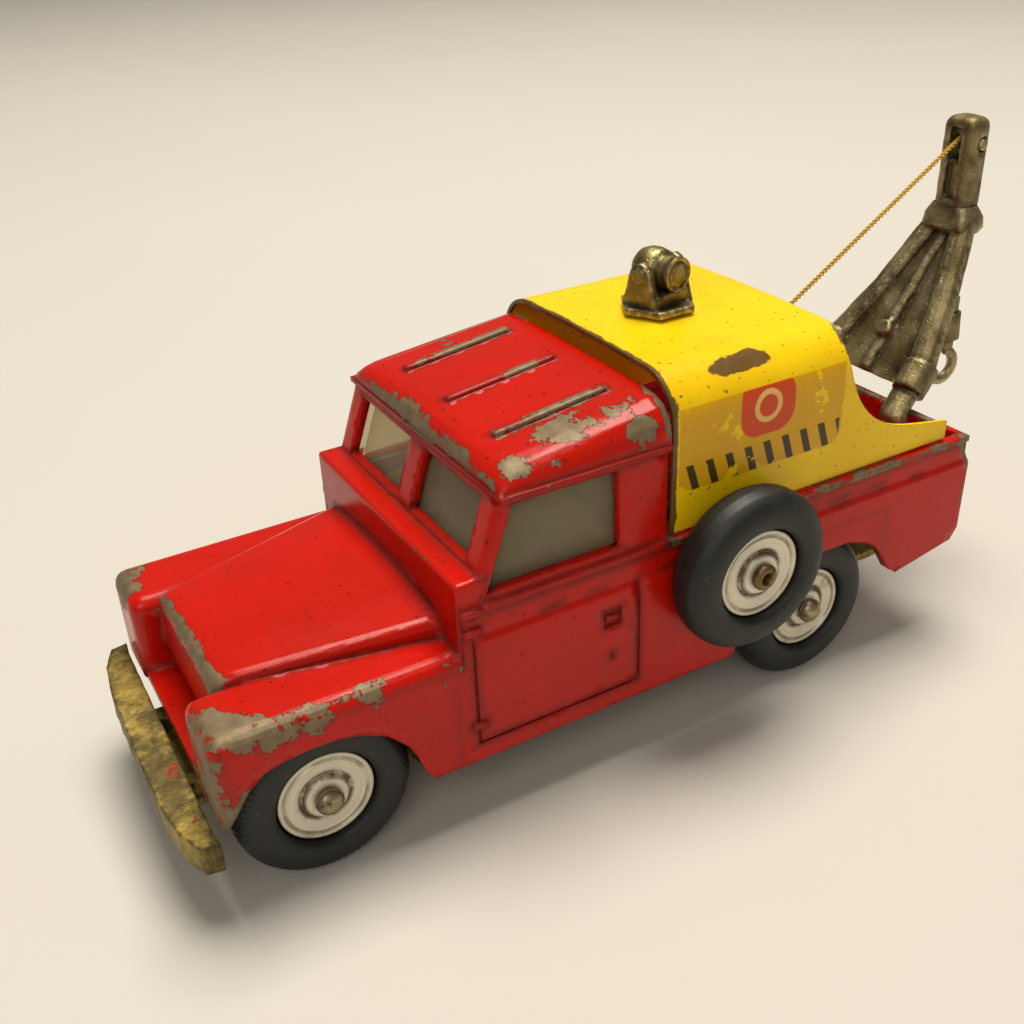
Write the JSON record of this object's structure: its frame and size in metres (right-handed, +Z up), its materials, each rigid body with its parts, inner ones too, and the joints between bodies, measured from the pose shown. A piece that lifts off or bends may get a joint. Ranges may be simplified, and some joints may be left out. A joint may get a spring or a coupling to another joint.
{
  "type": "toy tow truck",
  "caption": "Die-cast toy tow truck with an open load bed, half canopy, rear crane jib, cord winch worked by the side spare wheel, and a turning roof searchlight.",
  "frame": {"origin": "on the ground, at the centre of the bounding box", "axes": "-Y is the front of the truck, +X its own left side with the spare wheel, +Z up"},
  "size_m": [0.0424, 0.1144, 0.0582],
  "materials": {
    "red_enamel": "glossy orange-red enamel over zinc casting, chipped",
    "yellow_enamel": "yellow enamelled tinplate, scratched",
    "yellow_plastic": "yellow moulding",
    "bare_casting": "tarnished, faintly gilded zinc casting",
    "silver_casting": "tarnished silvery zinc casting",
    "spun_metal": "spun aluminium with dirt in the grooves",
    "steel": "plated steel wire, dulled",
    "rubber": "matt black rubber",
    "clear_plastic": "thin clear plastic, slightly cloudy",
    "thread": "twisted cotton thread"
  },
  "bodies": {
    "chassis": {"body_shell": "red_enamel", "base_plate": "bare_casting", "window_glazing": "clear_plastic", "cab_interior": "yellow_plastic", "steering_wheel": "yellow_plastic", "canopy": "yellow_enamel", "jib": "silver_casting", "jib_pin": "steel", "winch_cord": "thread"},
    "front_axle_unit": {"front_axle": "steel", "front_spring": "steel"},
    "rear_axle_unit": {"rear_axle": "steel", "rear_spring": "steel"},
    "front_left_wheel": {"front_left_hub": "spun_metal", "front_left_tyre": "rubber"},
    "front_right_wheel": {"front_right_hub": "spun_metal", "front_right_tyre": "rubber"},
    "rear_left_wheel": {"rear_left_hub": "spun_metal", "rear_left_tyre": "rubber"},
    "rear_right_wheel": {"rear_right_hub": "spun_metal", "rear_right_tyre": "rubber"},
    "winch": {"winch_shaft": "steel", "wound_thread": "thread", "spare_hub": "spun_metal", "spare_tyre": "rubber"},
    "searchlight": {"searchlight": "silver_casting"},
    "hook_line": {"hook_cord": "thread"},
    "hook": {"hook": "silver_casting"}
  },
  "joints": [
    {"name": "front_suspension", "type": "slide", "parent": "chassis", "child": "front_axle_unit", "axis": [0, 0, 1], "range_m": [-0.0004, 0.0006], "stiffness_N_per_m": 1000, "springref_m": -0.0006},
    {"name": "rear_suspension", "type": "slide", "parent": "chassis", "child": "rear_axle_unit", "axis": [0, 0, 1], "range_m": [-0.0004, 0.0006], "stiffness_N_per_m": 1000, "springref_m": -0.0006},
    {"name": "front_left_wheel_spin", "type": "hinge", "parent": "front_axle_unit", "child": "front_left_wheel", "pos_m": [-0.00235, -0.04268, 0.0092], "axis": [1, 0, 0], "continuous": true},
    {"name": "front_right_wheel_spin", "type": "hinge", "parent": "front_axle_unit", "child": "front_right_wheel", "pos_m": [-0.00235, -0.04268, 0.0092], "axis": [1, 0, 0], "continuous": true},
    {"name": "rear_left_wheel_spin", "type": "hinge", "parent": "rear_axle_unit", "child": "rear_left_wheel", "pos_m": [-0.00235, 0.01732, 0.0092], "axis": [1, 0, 0], "continuous": true},
    {"name": "rear_right_wheel_spin", "type": "hinge", "parent": "rear_axle_unit", "child": "rear_right_wheel", "pos_m": [-0.00235, 0.01732, 0.0092], "axis": [1, 0, 0], "continuous": true},
    {"name": "winch_turn", "type": "hinge", "parent": "chassis", "child": "winch", "pos_m": [-0.00235, 0.00447, 0.0216], "axis": [1, 0, 0], "range_deg": [-196, 106]},
    {"name": "searchlight_turn", "type": "hinge", "parent": "chassis", "child": "searchlight", "pos_m": [-0.00235, 0.00697, 0.0434], "axis": [0, 0, 1], "continuous": true},
    {"name": "hook_swing", "type": "hinge", "parent": "chassis", "child": "hook_line", "pos_m": [-0.00235, 0.05327, 0.055], "axis": [1, 0, 0], "range_deg": [0, 70]},
    {"name": "hook_lift", "type": "slide", "parent": "hook_line", "child": "hook", "axis": [0, 0, 1], "range_m": [-0.012, 0.0065], "deforming": ["hook_cord"]}
  ],
  "couplings": [
    {"joint": "hook_lift", "follows": "winch_turn", "m_per_rad": 0.0035}
  ]
}
